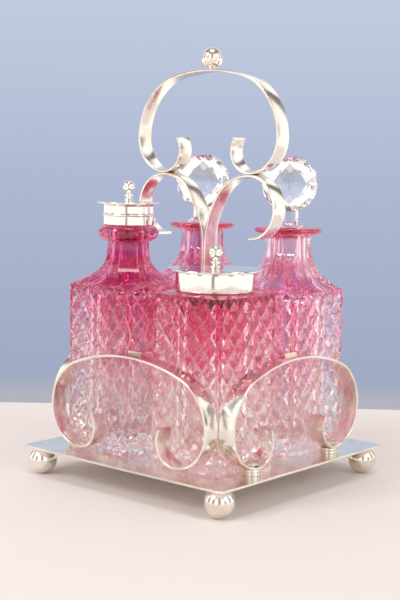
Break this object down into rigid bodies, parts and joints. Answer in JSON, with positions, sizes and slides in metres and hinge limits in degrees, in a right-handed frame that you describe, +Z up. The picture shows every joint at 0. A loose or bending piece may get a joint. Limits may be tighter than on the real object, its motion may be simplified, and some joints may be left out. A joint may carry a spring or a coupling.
{
  "type": "cruet set",
  "caption": "Square metal cruet stand on ball feet with scroll sides and a ringed scroll handle, holding square cut-glass bottles with lift-out stoppers, a caster and a lidded mustard pot.",
  "frame": {"origin": "centre of the square stand, on the table that its ball feet rest on", "axes": "+Z up, +X along the side of the plate that faces -Y, from the caster towards the mustard pot; the plane of the handle is XZ"},
  "size_m": [0.125, 0.125, 0.2056],
  "materials": {
    "silver_plate": "polished silver plate, softly worn",
    "mount_silver": "polished silver plate",
    "fasteners": "dull plated screws and nuts",
    "cut_glass": "cut glass, cranberry at the neck fading to clear at the foot",
    "clear_glass": "clear cut glass"
  },
  "bodies": {
    "stand": {"base_plate": "silver_plate", "foot_front_left": "silver_plate", "foot_front_right": "silver_plate", "foot_back_left": "silver_plate", "foot_back_right": "silver_plate", "scroll_front": "silver_plate", "scroll_back": "silver_plate", "scroll_left": "silver_plate", "scroll_right": "silver_plate", "scroll_collars": "silver_plate", "divider_front": "silver_plate", "divider_back": "silver_plate", "divider_left": "silver_plate", "divider_right": "silver_plate", "handle_strip_left": "silver_plate", "handle_strip_right": "silver_plate", "handle_ring": "silver_plate", "finial": "silver_plate", "scroll_screws": "fasteners", "scroll_nuts": "fasteners", "stem_screws": "fasteners", "stem_nuts": "fasteners"},
    "mustard_pot": {"mustard_glass": "cut_glass", "mustard_collar": "mount_silver"},
    "mustard_lid": {"mustard_lid": "mount_silver", "mustard_knob": "mount_silver"},
    "caster": {"caster_glass": "cut_glass", "caster_collar": "mount_silver"},
    "caster_top": {"caster_cap": "mount_silver", "caster_knob": "mount_silver"},
    "oil_bottle": {"oil_bottle": "cut_glass"},
    "oil_stopper": {"oil_stopper": "clear_glass"},
    "vinegar_bottle": {"vinegar_bottle": "cut_glass"},
    "vinegar_stopper": {"vinegar_stopper": "clear_glass"}
  },
  "joints": [
    {"name": "mustard_pot_lift", "type": "slide", "parent": "stand", "child": "mustard_pot", "axis": [0, 0, 1], "range_m": [0, 0.08]},
    {"name": "mustard_lid_lift", "type": "slide", "parent": "mustard_pot", "child": "mustard_lid", "axis": [0, 0, 1], "range_m": [0, 0.04]},
    {"name": "caster_lift", "type": "slide", "parent": "stand", "child": "caster", "axis": [0, 0, 1], "range_m": [0, 0.08]},
    {"name": "caster_cap_lift", "type": "slide", "parent": "caster", "child": "caster_top", "axis": [0, 0, 1], "range_m": [0, 0.04]},
    {"name": "oil_bottle_lift", "type": "slide", "parent": "stand", "child": "oil_bottle", "axis": [0, 0, 1], "range_m": [0, 0.08]},
    {"name": "oil_stopper_lift", "type": "slide", "parent": "oil_bottle", "child": "oil_stopper", "axis": [0, 0, 1], "range_m": [0, 0.05]},
    {"name": "vinegar_bottle_lift", "type": "slide", "parent": "stand", "child": "vinegar_bottle", "axis": [0, 0, 1], "range_m": [0, 0.08]},
    {"name": "vinegar_stopper_lift", "type": "slide", "parent": "vinegar_bottle", "child": "vinegar_stopper", "axis": [0, 0, 1], "range_m": [0, 0.05]}
  ]
}
